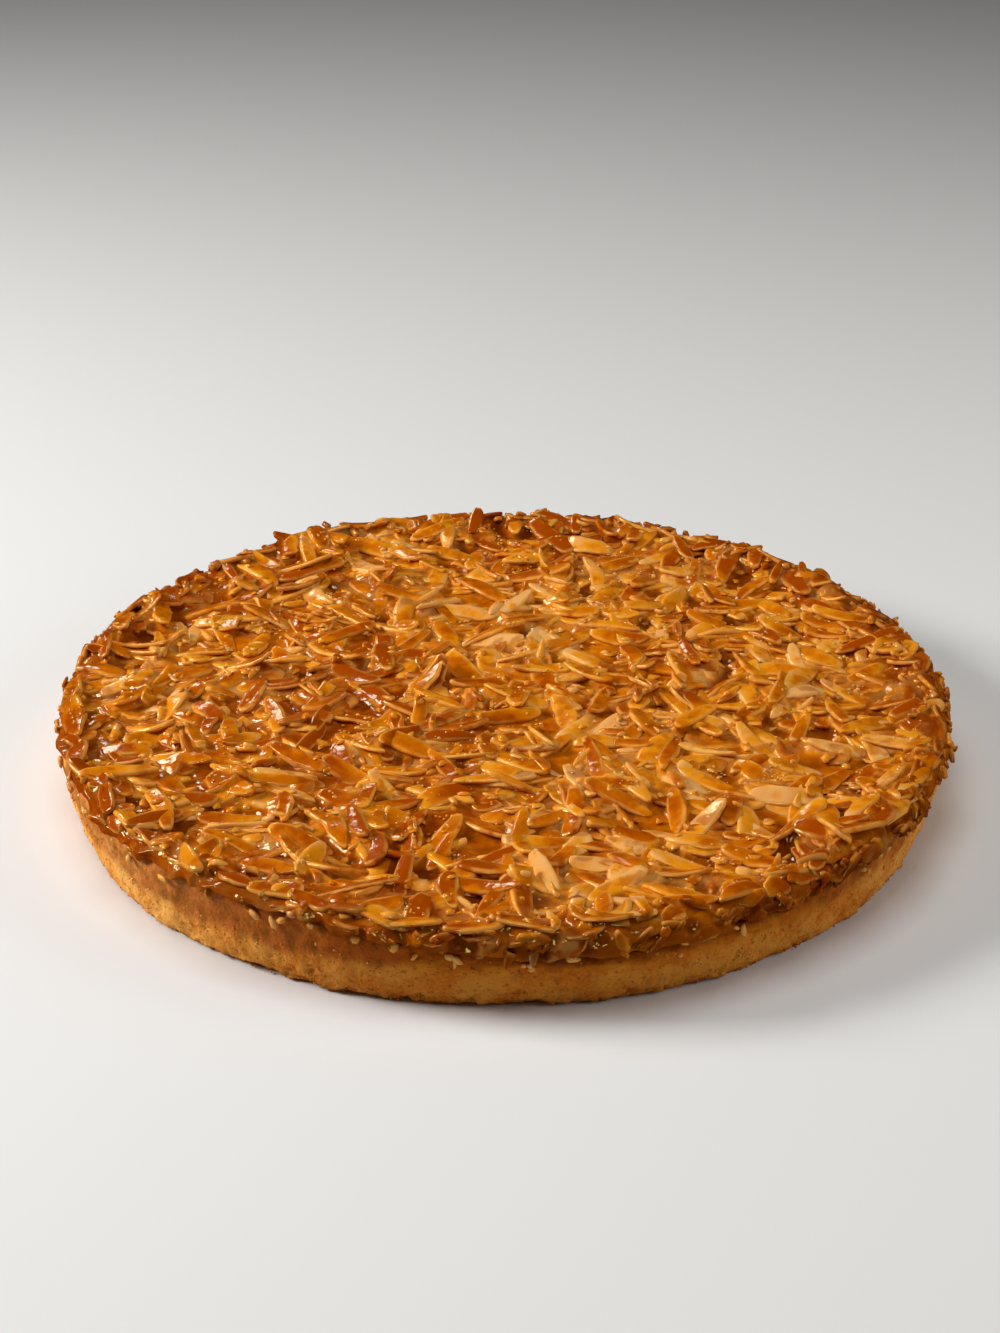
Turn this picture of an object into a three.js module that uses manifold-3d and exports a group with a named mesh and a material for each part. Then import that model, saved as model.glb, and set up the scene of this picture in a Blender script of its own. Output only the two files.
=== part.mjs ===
// Almond tart: a round shortcrust base that carries a layer of caramel set with flaked almonds.
// Millimetres, +Z up. The origin is the centre of the flat underside.
import * as THREE from 'three';
import { mergeVertices } from 'three/addons/utils/BufferGeometryUtils.js';
import Module from 'manifold-3d';

const wasm = await Module();
wasm.setup();

// Driving dimensions of the whole tart
const FOOT_RADIUS = 128.8;
const LIP_RADIUS = 134.3;
const LIP_HEIGHT = 22.6;
const CREST_RADIUS = 132;
const CREST_HEIGHT = 27.2;
const FIELD_RADIUS = 123;
const FIELD_HEIGHT = 25.2;
const SEGMENTS = 80;

// Pastry base
const PASTRY_HEIGHT = 15.5;
const BORDER_RADIUS = 132.4;
const FOOT_ROUND = 1.6;
const SIDE_BULGE = 0.5;
const SIDE_ROWS = 3;
const SEAT_RADIUS = 112;

// Root of the caramel, inside the pastry, and the gap that its seat leaves
const ROOT_HEIGHT = PASTRY_HEIGHT - 4;
const ROOT_RADIUS = BORDER_RADIUS - 3.2;
const LAYER_GAP = 0.3;

// Flaked almonds
const FLAKE_THICKNESS = 1.5;
const FLAKE_BROAD_END = 0.1;
const FLAKE_ARC_STEPS = 3;
const FLAKE_SEED = 20417;
const GOLDEN_ANGLE = Math.PI * (3 - Math.sqrt(5));

// Those over the field: how many, how far out, their sizes, and how they lie (angles in radians)
const FIELD_FLAKES = 196;
const FIELD_REACH = 124;
const FIELD_STRAY = 2.6;
const FIELD_LENGTH = { least: 15, most: 24 };
const FIELD_WIDTH = { least: 5, most: 8.6 };
const FIELD_LIFT = { least: 0.2, most: 0.5 };
const FIELD_ROLL = 0.25;
const FIELD_PITCH = 0.12;

// Those along the rim, of which most droop over the lip and the rest tip up a little
const RIM_FLAKES = 58;
const RIM_RADIUS = { least: 127.4, most: 129.8 };
const RIM_DROP = { least: 0.2, most: 0.8 };
const RIM_LENGTH = { least: 11, most: 18 };
const RIM_WIDTH = { least: 4.3, most: 6.8 };
const RIM_TIP_UP = { least: 0.08, most: 0.4 };
const RIM_DROOP = { least: 0.15, most: 0.6 };
const RIM_SHARE_UP = 0.4;
const RIM_SPACING_STRAY = 0.3;
const RIM_TURN = 0.45;
const RIM_PITCH = 0.11;

// Waves round the tart, each with its count per turn, height in millimetres and phase
const BORDER_WAVES = [
  { count: 3, height: 1.0, phase: 0.6 },
  { count: 7, height: 0.9, phase: 2.1 },
  { count: 13, height: 0.7, phase: 4.0 },
];
const OUTLINE_WAVES = [
  { count: 2, height: 0.35, phase: 1.2 },
  { count: 5, height: 0.3, phase: 0.4 },
  { count: 11, height: 0.3, phase: 3.3 },
];
const FOOT_CRAGS = [
  { count: 17, height: 0.35, phase: 0.9 },
  { count: 29, height: 0.35, phase: 2.7 },
];
const CREST_WAVES = [
  { count: 4, height: 0.5, phase: 5.1 },
  { count: 9, height: 0.6, phase: 1.7 },
  { count: 16, height: 0.5, phase: 0.2 },
];

const PASTRY_FINISH = { color: 0xc98a45, roughness: 0.85, metalness: 0 };
const TOPPING_FINISH = { color: 0xc2701a, roughness: 0.28, metalness: 0 };

// The same stream of numbers from 0 to 1 for the same seed
function seededDraw(seed) {
  let state = seed >>> 0;
  return () => {
    state = (Math.imul(state, 1664525) + 1013904223) >>> 0;
    return state / 2 ** 32;
  };
}

function between(draw, range) {
  return THREE.MathUtils.lerp(range.least, range.most, draw());
}

function eitherWay(draw, most) {
  return most * (2 * draw() - 1);
}

function waveSum(waves, angle) {
  return waves.reduce((sum, wave) => sum + wave.height * Math.sin(wave.count * angle + wave.phase), 0);
}

function share(value, low, high) {
  return THREE.MathUtils.clamp((value - low) / (high - low), 0, 1);
}

// Upper face of the caramel: a level field that rises to an uneven crest by the rim
function caramelHeight(radius, angle) {
  const rise = share(radius, FIELD_RADIUS, CREST_RADIUS);
  const crest = CREST_HEIGHT + waveSum(CREST_WAVES, angle);
  return THREE.MathUtils.lerp(FIELD_HEIGHT, crest, rise);
}

function mergedPosition(geometry) {
  geometry.deleteAttribute('normal');
  geometry.deleteAttribute('uv');
  return mergeVertices(geometry, 1e-3);
}

// Closed geometry to a solid, without the triangles that have no area on the axis
function solidFrom(geometry) {
  const merged = mergedPosition(geometry);
  const corners = merged.index.array;
  const triangles = [];
  for (let i = 0; i < corners.length; i += 3) {
    const [a, b, c] = corners.slice(i, i + 3);
    if (a !== b && b !== c && c !== a) triangles.push(a, b, c);
  }
  return new wasm.Manifold(new wasm.Mesh({
    numProp: 3,
    vertProperties: new Float32Array(merged.getAttribute('position').array),
    triVerts: new Uint32Array(triangles),
  }));
}

function geometryFrom(solid) {
  const mesh = solid.getMesh();
  const geometry = new THREE.BufferGeometry();
  geometry.setAttribute('position', new THREE.BufferAttribute(mesh.vertProperties, 3));
  geometry.setIndex(new THREE.BufferAttribute(mesh.triVerts, 1));
  geometry.computeVertexNormals();
  return geometry;
}

// Turns a profile about Z, then moves each of its points to the place it has at that angle
function turned(profile, placePoint) {
  const outline = profile.map((point) => new THREE.Vector2(point.radius, point.height));
  const geometry = new THREE.LatheGeometry(outline, SEGMENTS);
  geometry.rotateX(Math.PI / 2);
  const position = geometry.getAttribute('position');
  for (let i = 0; i < position.count; i++) {
    const point = profile[i % profile.length];
    const angle = Math.atan2(position.getY(i), position.getX(i));
    const { radius, height } = placePoint(point, angle);
    position.setXYZ(i, radius * Math.cos(angle), radius * Math.sin(angle), height);
  }
  return solidFrom(geometry);
}

// Pastry side from the foot to the border, with a slight belly
function pastrySide() {
  const rows = [];
  for (let row = 0; row <= SIDE_ROWS; row++) {
    const rise = row / SIDE_ROWS;
    const belly = SIDE_BULGE * Math.sin(Math.PI * rise);
    rows.push({
      radius: THREE.MathUtils.lerp(FOOT_RADIUS, BORDER_RADIUS, rise) + belly,
      height: THREE.MathUtils.lerp(FOOT_ROUND, PASTRY_HEIGHT, rise),
      rise,
    });
  }
  return rows;
}

// The base, raised by the lift when it serves to cut the caramel's seat
function pastryBase(lift) {
  const profile = [
    { radius: 0, height: 0, part: 'underside' },
    { radius: FOOT_RADIUS - FOOT_ROUND, height: 0, part: 'underside' },
    ...pastrySide().map((row) => ({ ...row, part: 'side' })),
    { radius: SEAT_RADIUS, height: PASTRY_HEIGHT, part: 'seat' },
    { radius: 0, height: PASTRY_HEIGHT, part: 'seat' },
  ];
  return turned(profile, (point, angle) => {
    if (point.part !== 'side') return { radius: point.radius, height: point.height + lift };
    const crags = waveSum(FOOT_CRAGS, angle) * (1 - point.rise);
    return {
      radius: point.radius + waveSum(OUTLINE_WAVES, angle) + crags,
      height: point.height + waveSum(BORDER_WAVES, angle) * point.rise + lift,
    };
  });
}

// Caramel layer without its almonds: it bulges to a lip and ends in a crest, and its root, down inside
// the pastry, is what the seat cuts away
function caramelLayer() {
  const profile = [
    { radius: 0, height: ROOT_HEIGHT, part: 'root' },
    { radius: ROOT_RADIUS, height: ROOT_HEIGHT, part: 'root' },
    { radius: LIP_RADIUS, height: LIP_HEIGHT, part: 'lip' },
    { radius: CREST_RADIUS, height: CREST_HEIGHT, part: 'face' },
    { radius: FIELD_RADIUS, height: FIELD_HEIGHT, part: 'face' },
    { radius: 0, height: FIELD_HEIGHT, part: 'face' },
  ];
  return turned(profile, (point, angle) => {
    const outline = waveSum(OUTLINE_WAVES, angle);
    switch (point.part) {
      case 'root':
        return { radius: point.radius && point.radius + outline, height: point.height };
      case 'lip':
        return { radius: point.radius + outline, height: point.height + waveSum(CREST_WAVES, angle) / 2 };
      default:
        return { radius: point.radius, height: caramelHeight(point.radius, angle) };
    }
  });
}

// A flaked almond one unit long, wide and thick: a slice with pointed ends, broader at one of them
function unitFlake() {
  const outline = new THREE.Shape();
  outline.moveTo(-0.5, 0);
  outline.quadraticCurveTo(-FLAKE_BROAD_END, -1, 0.5, 0);
  outline.quadraticCurveTo(-FLAKE_BROAD_END, 1, -0.5, 0);
  const geometry = new THREE.ExtrudeGeometry(outline, {
    depth: 1,
    bevelEnabled: false,
    curveSegments: FLAKE_ARC_STEPS,
  });
  geometry.translate(0, 0, -0.5);
  return geometry;
}

// Almonds over the field: a sunflower spiral spaces them evenly, and each lies its own way
function fieldFlakes(draw) {
  return Array.from({ length: FIELD_FLAKES }, (_, i) => {
    const radius = FIELD_REACH * Math.sqrt((i + 0.5) / FIELD_FLAKES);
    const angle = i * GOLDEN_ANGLE;
    return {
      x: radius * Math.cos(angle) + eitherWay(draw, FIELD_STRAY),
      y: radius * Math.sin(angle) + eitherWay(draw, FIELD_STRAY),
      z: caramelHeight(radius, angle) + FLAKE_THICKNESS * between(draw, FIELD_LIFT),
      turn: eitherWay(draw, Math.PI),
      roll: eitherWay(draw, FIELD_ROLL),
      pitch: eitherWay(draw, FIELD_PITCH),
      length: between(draw, FIELD_LENGTH),
      width: between(draw, FIELD_WIDTH),
    };
  });
}

// Almonds along the rim: they run with it, each with its outer edge tipped up or drooping over the lip
function rimFlakes(draw) {
  return Array.from({ length: RIM_FLAKES }, (_, i) => {
    const angle = ((i + eitherWay(draw, RIM_SPACING_STRAY)) * 2 * Math.PI) / RIM_FLAKES;
    const radius = between(draw, RIM_RADIUS);
    const tipsUp = draw() < RIM_SHARE_UP;
    return {
      x: radius * Math.cos(angle),
      y: radius * Math.sin(angle),
      z: CREST_HEIGHT + waveSum(CREST_WAVES, angle) - between(draw, RIM_DROP),
      turn: angle + Math.PI / 2 + eitherWay(draw, RIM_TURN),
      roll: tipsUp ? -between(draw, RIM_TIP_UP) : between(draw, RIM_DROOP),
      pitch: eitherWay(draw, RIM_PITCH),
      length: between(draw, RIM_LENGTH),
      width: between(draw, RIM_WIDTH),
    };
  });
}

function placedFlake(unit, flake) {
  const turn = new THREE.Euler(flake.roll, flake.pitch, flake.turn, 'ZYX');
  const place = new THREE.Matrix4().compose(
    new THREE.Vector3(flake.x, flake.y, flake.z),
    new THREE.Quaternion().setFromEuler(turn),
    new THREE.Vector3(flake.length, flake.width, FLAKE_THICKNESS),
  );
  return solidFrom(unit.clone().applyMatrix4(place));
}

// Joins neighbours two by two, so that no step works on more than it needs
function joined(solids) {
  if (solids.length === 1) return solids[0];
  const half = Math.ceil(solids.length / 2);
  return joined(solids.slice(0, half)).add(joined(solids.slice(half)));
}

// The largest body alone: a sealed hollow or a loose scrap is a body of its own, and is left out
function mainBody(solid) {
  return solid.decompose().reduce((best, body) => (body.volume() > best.volume() ? body : best));
}

function almondTopping() {
  const draw = seededDraw(FLAKE_SEED);
  const unit = unitFlake();
  const flakes = [...fieldFlakes(draw), ...rimFlakes(draw)].map((flake) => placedFlake(unit, flake));
  return mainBody(joined([caramelLayer(), ...flakes]).subtract(pastryBase(LAYER_GAP)));
}

function namedMesh(name, solid, finish) {
  const mesh = new THREE.Mesh(geometryFrom(solid), new THREE.MeshStandardMaterial(finish));
  mesh.name = name;
  return mesh;
}

const almondTart = new THREE.Group();
almondTart.add(
  namedMesh('pastry_base', pastryBase(0), PASTRY_FINISH),
  namedMesh('almond_topping', almondTopping(), TOPPING_FINISH),
);

export default almondTart;
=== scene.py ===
"""Almond tart: flaked almonds set in caramel on a shortcrust base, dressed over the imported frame."""

import math

import bmesh
import bpy
import numpy as np
from mathutils import Euler, Matrix, Vector, noise


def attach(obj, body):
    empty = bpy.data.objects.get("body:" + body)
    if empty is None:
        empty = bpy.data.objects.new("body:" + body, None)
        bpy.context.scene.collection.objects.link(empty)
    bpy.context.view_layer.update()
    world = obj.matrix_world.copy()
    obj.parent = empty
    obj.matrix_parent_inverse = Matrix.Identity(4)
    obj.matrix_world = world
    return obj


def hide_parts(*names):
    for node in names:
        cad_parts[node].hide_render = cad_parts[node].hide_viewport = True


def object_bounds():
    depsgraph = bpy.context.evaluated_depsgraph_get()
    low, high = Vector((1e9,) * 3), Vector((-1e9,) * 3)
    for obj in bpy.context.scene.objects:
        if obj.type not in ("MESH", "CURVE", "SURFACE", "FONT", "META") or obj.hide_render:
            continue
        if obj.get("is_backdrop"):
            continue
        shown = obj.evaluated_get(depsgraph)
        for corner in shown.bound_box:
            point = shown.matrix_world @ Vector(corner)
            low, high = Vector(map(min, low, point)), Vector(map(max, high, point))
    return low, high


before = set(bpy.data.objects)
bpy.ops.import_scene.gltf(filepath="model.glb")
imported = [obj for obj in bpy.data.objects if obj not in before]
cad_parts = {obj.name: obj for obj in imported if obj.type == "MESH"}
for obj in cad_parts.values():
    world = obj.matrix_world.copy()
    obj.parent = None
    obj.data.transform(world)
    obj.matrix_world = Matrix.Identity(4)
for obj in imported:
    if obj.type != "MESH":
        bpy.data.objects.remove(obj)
cad_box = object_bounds()

# Sizes in millimetres; the meshes are in metres
MM = 0.001
FOOT_RADIUS = 128.8
BORDER_RADIUS = 132.6
PASTRY_HEIGHT = 15.5
PASTRY_TOP = 17.0
SOAKED_RISE = 6.5
CREST_RADIUS = 132.2
TIP_REACH = 132.0
CREST_HEIGHT = 26.4
FIELD_RADIUS = 120.0
BED_HEIGHT = 21.9
SIDE_RADIUS = 133.0

# Outline of the caramel's side: heights, and the radius at each
SIDE_HEIGHTS = (14.0, 17.0, 19.5, 22.5, 25.0, 27.5)
SIDE_RADII = (130.8, 132.2, 133.7, 134.1, 133.6, 132.2)

# Ways that parts of the side face, as angles from +X about the tart's axis
SOAKED_WAY = math.radians(214)
FLOWED_WAY = math.radians(238)
FRONT_WAY = math.radians(280)
RIGHT_WAY = math.radians(350)
BROWNED_WAY = math.radians(25)

# Waves round the tart: count per turn, height and phase, as the solids have them
BORDER_WAVES = ((3, 1.0, 0.6), (7, 0.9, 2.1), (13, 0.7, 4.0))
OUTLINE_WAVES = ((2, 0.35, 1.2), (5, 0.3, 0.4), (11, 0.3, 3.3))
CREST_WAVES = ((4, 0.5, 5.1), (9, 0.6, 1.7), (16, 0.5, 0.2))

# Flakes that the solid carries
FLAKE_SEED = 20417
FIELD_FLAKES = 196
FIELD_REACH = 124.0
RIM_FLAKES = 58
RIM_RADII = (127.4, 129.8)
CREST_HEIGHT_SOLID = 27.2
GOLDEN_ANGLE = math.pi * (3 - math.sqrt(5))

# Almonds: thickness of each kind, where a flake's pale edge begins, and how many flakes are pale
FLAKE_THICKNESS = 1.45
SLIVER_THICKNESS = 1.6
BIT_THICKNESS = 1.1
RIM_FROM = 0.68
PALE_SHARE = 0.19

# Radii over which browning comes in on a flake's face and on flakes and caramel along the rim, and over
# which flakes on the side get painted shade
FACE_BROWNING = (114, 130)
FLAKE_BROWNING = (121, 131)
CARAMEL_BROWNING = (119, 130)
WALL_SHADE_RADII = (129, 132.5)

# Shade on the side's flakes: where it ends, and how far below that it is full
WALL_SHADE_TOP = 28.0
WALL_SHADE_DEPTH = 7.0

# Sheets that the flakes are laid on: size of a cell, and half the width of the upper one
CELL = 0.5
SHEET_REACH = 142.0

# The sheet round the side: its heights, and the span of them that carries flakes
SIDE_SHEET = (10.0, 34.0)
WALL_SPAN = (16.0, 27.5)

SEED = 7

rng = np.random.default_rng(SEED)


# Small helpers

def waves(table, angle):
    """Sum of the waves of a table at an angle, or at an array of angles."""
    return sum(height * np.sin(count * angle + phase) for count, height, phase in table)


def step(value, low, high):
    """Smooth rise from 0 at low to 1 at high."""
    t = np.clip((value - low) / (high - low), 0.0, 1.0)
    return t * t * (3 - 2 * t)


def mix(a, b, t):
    """From a at t = 0 to b at t = 1, by a straight line."""
    return a + (b - a) * t


def cloud(points, size, octaves=1):
    """Smooth noise from -1 to 1 at points in millimetres, with lumps of about the size given."""
    total = np.zeros(len(points))
    weight = 1.0
    for octave in range(octaves):
        scaled = points * (2 ** octave / size)
        total += weight * np.array([noise.noise(Vector(p)) for p in scaled.tolist()])
        weight *= 0.5
    return total


def ring_spot(radius, angle):
    """The x and y of a point at a radius and an angle about the tart's axis."""
    return radius * math.cos(angle), radius * math.sin(angle)


def ring_places(radius, angle, height):
    """Points at arrays of radii, angles and heights, one row a point."""
    return np.column_stack([radius * np.cos(angle), radius * np.sin(angle), height])


def about_axis(points):
    """How far points lie from the tart's axis, and their angles about it."""
    x = points[:, 0]
    y = points[:, 1]
    return np.hypot(x, y), np.arctan2(y, x)


def run_round(angle):
    """How far round the unrolled side an angle lies."""
    return (angle % (2 * math.pi)) * SIDE_RADIUS


def angles_round(count):
    """Angles spread round the tart, each moved at random within its share of the turn."""
    for i in range(count):
        yield (i + rng.uniform()) / count * 2 * math.pi


# The tart's side: how far out the caramel stands, and how high the pastry reaches

def facing(angle, way, outer, inner):
    """How far an angle faces a way: 0 where its cosine is under outer, and 1 where it is over inner."""
    return step(np.cos(angle - way), outer, inner)


def soaked_left(angle):
    """How far the caramel has soaked into the pastry, from 0 to 1: most at the left towards the front."""
    return facing(angle, SOAKED_WAY, 0.45, 0.95)


def drawn_up(angle):
    """How far the pastry comes up round the caramel, from 0 to 1: at the left, and less at the right."""
    return np.maximum(soaked_left(angle), 0.7 * facing(angle, RIGHT_WAY, 0.5, 0.95))


def side_radius(z, angle):
    """How far out the caramel's side stands: less where the pastry comes up round it."""
    return np.interp(z, SIDE_HEIGHTS, SIDE_RADII) + waves(OUTLINE_WAVES, angle) - 1.5 * drawn_up(angle)


def flowed_over(angle):
    """Where caramel has run over the pastry's edge, from 0 to 1: at the left of the front."""
    return facing(angle, FLOWED_WAY, 0.85, 0.97)


def baked_front(angle):
    """How far the side faces the front, which lies in shade, from 0 to 1; colours there get painted shade.
    """
    return facing(angle, FRONT_WAY, 0.4, 0.98)


def browned_rim(angle):
    """How far the rim is browned, from 0 to 1: most at the right and behind it."""
    return facing(angle, BROWNED_WAY, 0.1, 0.85)


def pastry_top(angle):
    """Upper edge of the pastry: wavy, and higher where it comes up round the caramel."""
    return PASTRY_TOP + 0.5 * waves(BORDER_WAVES, angle) + SOAKED_RISE * drawn_up(angle)


# Relief: a sheet of cells that flakes are laid on, row by y and column by x

class Relief:
    """Heights over a sheet, with the tone and the rim of the flake that shows at each cell."""

    def __init__(self, x_line, y_line, wraps):
        self.x, self.y = np.meshgrid(x_line, y_line)
        self.wraps = wraps
        self.width = CELL * len(x_line)
        self.heights = np.zeros(self.x.shape)
        self.tone = np.full(self.x.shape, 0.3)
        self.rim = np.zeros(self.x.shape)
        self.looseness = np.ones(self.x.shape)
        self.allowed = np.ones(self.x.shape, bool)

    def near(self, x, y, span):
        """Cells within a span of a point, and how far each lies from it."""
        rows = np.arange(int((y - span - self.y[0, 0]) / CELL), int((y + span - self.y[0, 0]) / CELL) + 2)
        columns = np.arange(int((x - span - self.x[0, 0]) / CELL), int((x + span - self.x[0, 0]) / CELL) + 2)
        rows = rows[(rows >= 0) & (rows < self.x.shape[0])]
        columns = columns % self.x.shape[1]
        patch = np.ix_(rows, columns)
        away = self.x[patch] - x
        if self.wraps:
            away = (away + self.width / 2) % self.width - self.width / 2
        return patch, away, self.y[patch] - y

    def blurred(self, field, sigma):
        """Gaussian blur of a field, with sigma in millimetres."""
        reach = max(1, int(3 * sigma / CELL))
        line = np.exp(-0.5 * (np.arange(-reach, reach + 1) * CELL / sigma) ** 2)
        line /= line.sum()
        across = np.pad(field, ((0, 0), (reach, reach)), mode="wrap" if self.wraps else "edge")
        across = np.array([np.convolve(row, line, mode="valid") for row in across])
        down = np.pad(across, ((reach, reach), (0, 0)), mode="edge")
        return np.array([np.convolve(column, line, mode="valid") for column in down.T]).T

    def bumps(self, size):
        """Seeded smooth noise over the sheet, with a spread of 1 and lumps of about the size given."""
        field = self.blurred(rng.normal(size=self.x.shape), size / 2.5)
        return (field - field.mean()) / field.std()

    def sampled(self, field, x, y):
        """Field values at points, between the cells by straight lines."""
        rows, columns = field.shape
        across = (np.asarray(x) - self.x[0, 0]) / CELL
        across = across % columns if self.wraps else np.clip(across, 0, columns - 1.001)
        down = np.clip((np.asarray(y) - self.y[0, 0]) / CELL, 0, rows - 1.001)
        i = down.astype(int)
        j = across.astype(int) % columns
        after = (j + 1) % columns
        s = down - i
        t = across - np.floor(across)
        low = field[i, j] * (1 - t) + field[i, after] * t
        high = field[i + 1, j] * (1 - t) + field[i + 1, after] * t
        return low * (1 - s) + high * s


def widened(field, radius):
    """Highest value of the field within the radius of each cell."""
    reach = int(radius / CELL)
    best = field.copy()
    for down in range(-reach, reach + 1):
        for across in range(-reach, reach + 1):
            if down * down + across * across <= reach * reach:
                np.maximum(best, np.roll(field, (down, across), (0, 1)), out=best)
    return best


def closed_gaps(field, radius):
    """The field with every gap narrower than the radius filled."""
    return -widened(-widened(field, radius), radius)


def gentle(field, slope, rounds=8):
    """The field lowered beside every step, so that it nowhere rises faster than the slope."""
    shifts = [(down, across) for down in (-1, 0, 1) for across in (-1, 0, 1) if down or across]
    for _ in range(rounds):
        for shift in shifts:
            field = np.minimum(field, np.roll(field, shift, (0, 1)) + slope * CELL * math.hypot(*shift))
    return field


# Almond flakes: their shape

def half_width(u, lop, point):
    """Half width along a flake, u from -1 to 1: fuller at one end by the lop, pointed by the point."""
    return np.clip(1 - u * u, 0.0, 1.0) ** point * (1 + lop * u) + 0.05


def edge_share(u, v):
    """0 in the middle of a flake and 1 at its edge."""
    return np.maximum(np.abs(v), np.abs(u) ** 1.8)


def pale_edge(u, v):
    """0 on the face of a flake, rising to 1 along its edge."""
    return step(edge_share(u, v), RIM_FROM, 1.0)


def flake_tone(flake, u, v):
    """How pale a flake is at a place on it, from 0 to 1; one end or one side is browner."""
    dark_face = 0.26 * (1 - edge_share(u, v) ** 2)
    baked = 0.3 * step(math.hypot(*flake["spot"]), *FACE_BROWNING)
    tone = flake["tone"] + flake["tone_along"] * u + flake["tone_across"] * v
    return np.clip(tone - dark_face - baked, 0, 1)


def new_flake(spot, length, width, turn=0.0, cut=1.0, rim=1.0):
    """A flake with a shape of its own; along is its long direction, and up is the way its face looks."""
    return {
        "spot": spot, "place": (*spot, 0.0), "turn": turn, "length": length, "width": width, "cut": cut,
        "along": (math.cos(turn), math.sin(turn), 0.0),
        "up": (0.0, 0.0, 1.0),
        "thickness": FLAKE_THICKNESS * rng.uniform(0.8, 1.25),
        "lop": rng.uniform(-0.3, 0.3),
        "point": rng.uniform(0.3, 0.6),
        "curl": rng.normal(0, 0.9) * min(1.0, length / 15),
        "dish": rng.normal(-0.05, 0.2),
        "twist": rng.normal(0, 0.02),
        "bow": np.clip(rng.normal(0, 0.16), -0.28, 0.28) * width,
        "wave": rng.uniform(0.0, 0.2),
        "phase": rng.uniform(-math.pi, math.pi),
        "tone": rng.uniform(0.9, 1.25) if rng.uniform() < PALE_SHARE else rng.uniform(0.12, 0.88),
        "tone_along": rng.normal(0, 0.25),
        "tone_across": rng.normal(0, 0.12),
        "rim": rim * rng.uniform(0.6, 1.0),
        "shade": rng.uniform(0.15, 0.5) if rng.uniform() < 0.25 else rng.uniform(0.65, 1.0),
    }


def lay_flake(relief, flake, sink, spare_tilt, rest_share):
    """Rest a flake on the relief, near the tilt of what is under it, and raise the relief to it."""
    x, y = flake["spot"]
    patch, dx, dy = relief.near(x, y, flake["length"] / 2 + 1)
    cos_turn = math.cos(flake["turn"])
    sin_turn = math.sin(flake["turn"])
    along = dx * cos_turn + dy * sin_turn
    across = dy * cos_turn - dx * sin_turn
    u = along / (flake["length"] / 2)
    half = half_width(np.clip(u, -1, 1), flake["lop"], flake["point"]) * flake["width"] / 2
    inside = (np.abs(u) <= 1) & (u <= flake["cut"]) & (np.abs(across) <= half) & relief.allowed[patch]
    if inside.sum() < 6:
        return False
    a = along[inside]
    c = across[inside]
    under = relief.heights[patch][inside]
    plane = np.column_stack([np.ones_like(a), a, c])
    slope_along, slope_across = np.linalg.lstsq(plane, under, rcond=None)[0][1:]
    looseness = relief.looseness[patch][inside].mean()
    spare_along = looseness * np.clip(rng.normal(0, spare_tilt), -0.3, 0.3)
    spare_across = looseness * np.clip(rng.normal(0, 2 * spare_tilt), -0.55, 0.55)
    slope_along = looseness * np.clip(0.7 * slope_along, -0.25, 0.25) + spare_along
    slope_across = np.clip(0.7 * slope_across, -0.35, 0.35) + spare_across
    rest = np.quantile(under - slope_along * a - slope_across * c, rest_share) - sink
    flake["place"] = (x, y, rest + flake["thickness"] / 2)
    long_way = Vector((cos_turn, sin_turn, slope_along)).normalized()
    flake["along"] = long_way[:]
    flake["up"] = long_way.cross(Vector((-sin_turn, cos_turn, slope_across))).normalized()[:]
    u = u[inside]
    v = c / half[inside]
    face = rest + slope_along * a + slope_across * c
    face = face + flake["thickness"] * 0.9 + flake["curl"] * (u ** 2 - 0.3)
    shows = face > under
    cells = np.zeros(inside.shape, bool)
    cells[inside] = shows
    for field, values in ((relief.heights, face), (relief.tone, flake_tone(flake, u, v)),
                          (relief.rim, flake["rim"] * pale_edge(u, v))):
        fresh = field[patch]
        fresh[cells] = values[shows]
        field[patch] = fresh
    return True


def thickened(flakes, thickness):
    """The flakes with a thickness about the one given."""
    for flake in flakes:
        flake["thickness"] = thickness * rng.uniform(0.8, 1.25)
    return flakes


def laid(relief, flakes, sink=0.25, spare_tilt=0.05, rest_share=0.6):
    """The flakes that found a place on the relief, laid one after another."""
    return [flake for flake in flakes if lay_flake(relief, flake, sink, spare_tilt, rest_share)]


def posed(flake, height, roll, pitch):
    """A flake at a height of its own, rolled about its length and pitched tip down."""
    axes = Euler((roll, pitch, flake["turn"])).to_matrix()
    flake.update(place=(*flake["spot"], height), along=axes.col[0][:], up=axes.col[2][:])
    return flake


def column(flakes, key):
    """One value of every flake, a row a flake."""
    return np.array([flake[key] for flake in flakes])[:, None]


def flake_points(flakes, shape):
    """Points of every flake, one row a flake: a slightly domed or dished face inside a rounded edge."""
    u, v, face = (shape[:, i][None, :] for i in range(3))
    reach = -1 + (u + 1) * (column(flakes, "cut") + 1) / 2
    half = half_width(reach, column(flakes, "lop"), column(flakes, "point")) * column(flakes, "width") / 2
    half = half * (1 + column(flakes, "wave") * np.sin(5 * reach + column(flakes, "phase") + v))
    edge = edge_share(u, v)
    rounded = np.interp(edge, (0, 0.55, 0.8, 0.93, 1), (1, 0.99, 0.95, 0.76, 0.2))
    hollow = np.where(face > 0, np.interp(edge, (0, 0.55, 0.93, 1), (1, 0.6, 0, 0)), 0)
    x = reach * column(flakes, "length") / 2
    y = v * half + column(flakes, "bow") * (reach ** 2 - 0.3)
    z = column(flakes, "thickness") / 2 * (face * rounded - column(flakes, "dish") * hollow)
    z = z + column(flakes, "curl") * (reach ** 2 - 0.3) + column(flakes, "twist") * x * y
    along = column(flakes, "along")
    up = column(flakes, "up")
    across = np.cross(up, along)
    return column(flakes, "place") + x[..., None] * along + y[..., None] * across + z[..., None] * up


# Almond flakes: where they lie

def solid_draws(seed):
    """The stream of numbers from 0 to 1 that the solid's flakes are drawn with."""
    state = seed
    while True:
        state = (state * 1664525 + 1013904223) % 2 ** 32
        yield state / 2 ** 32


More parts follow.
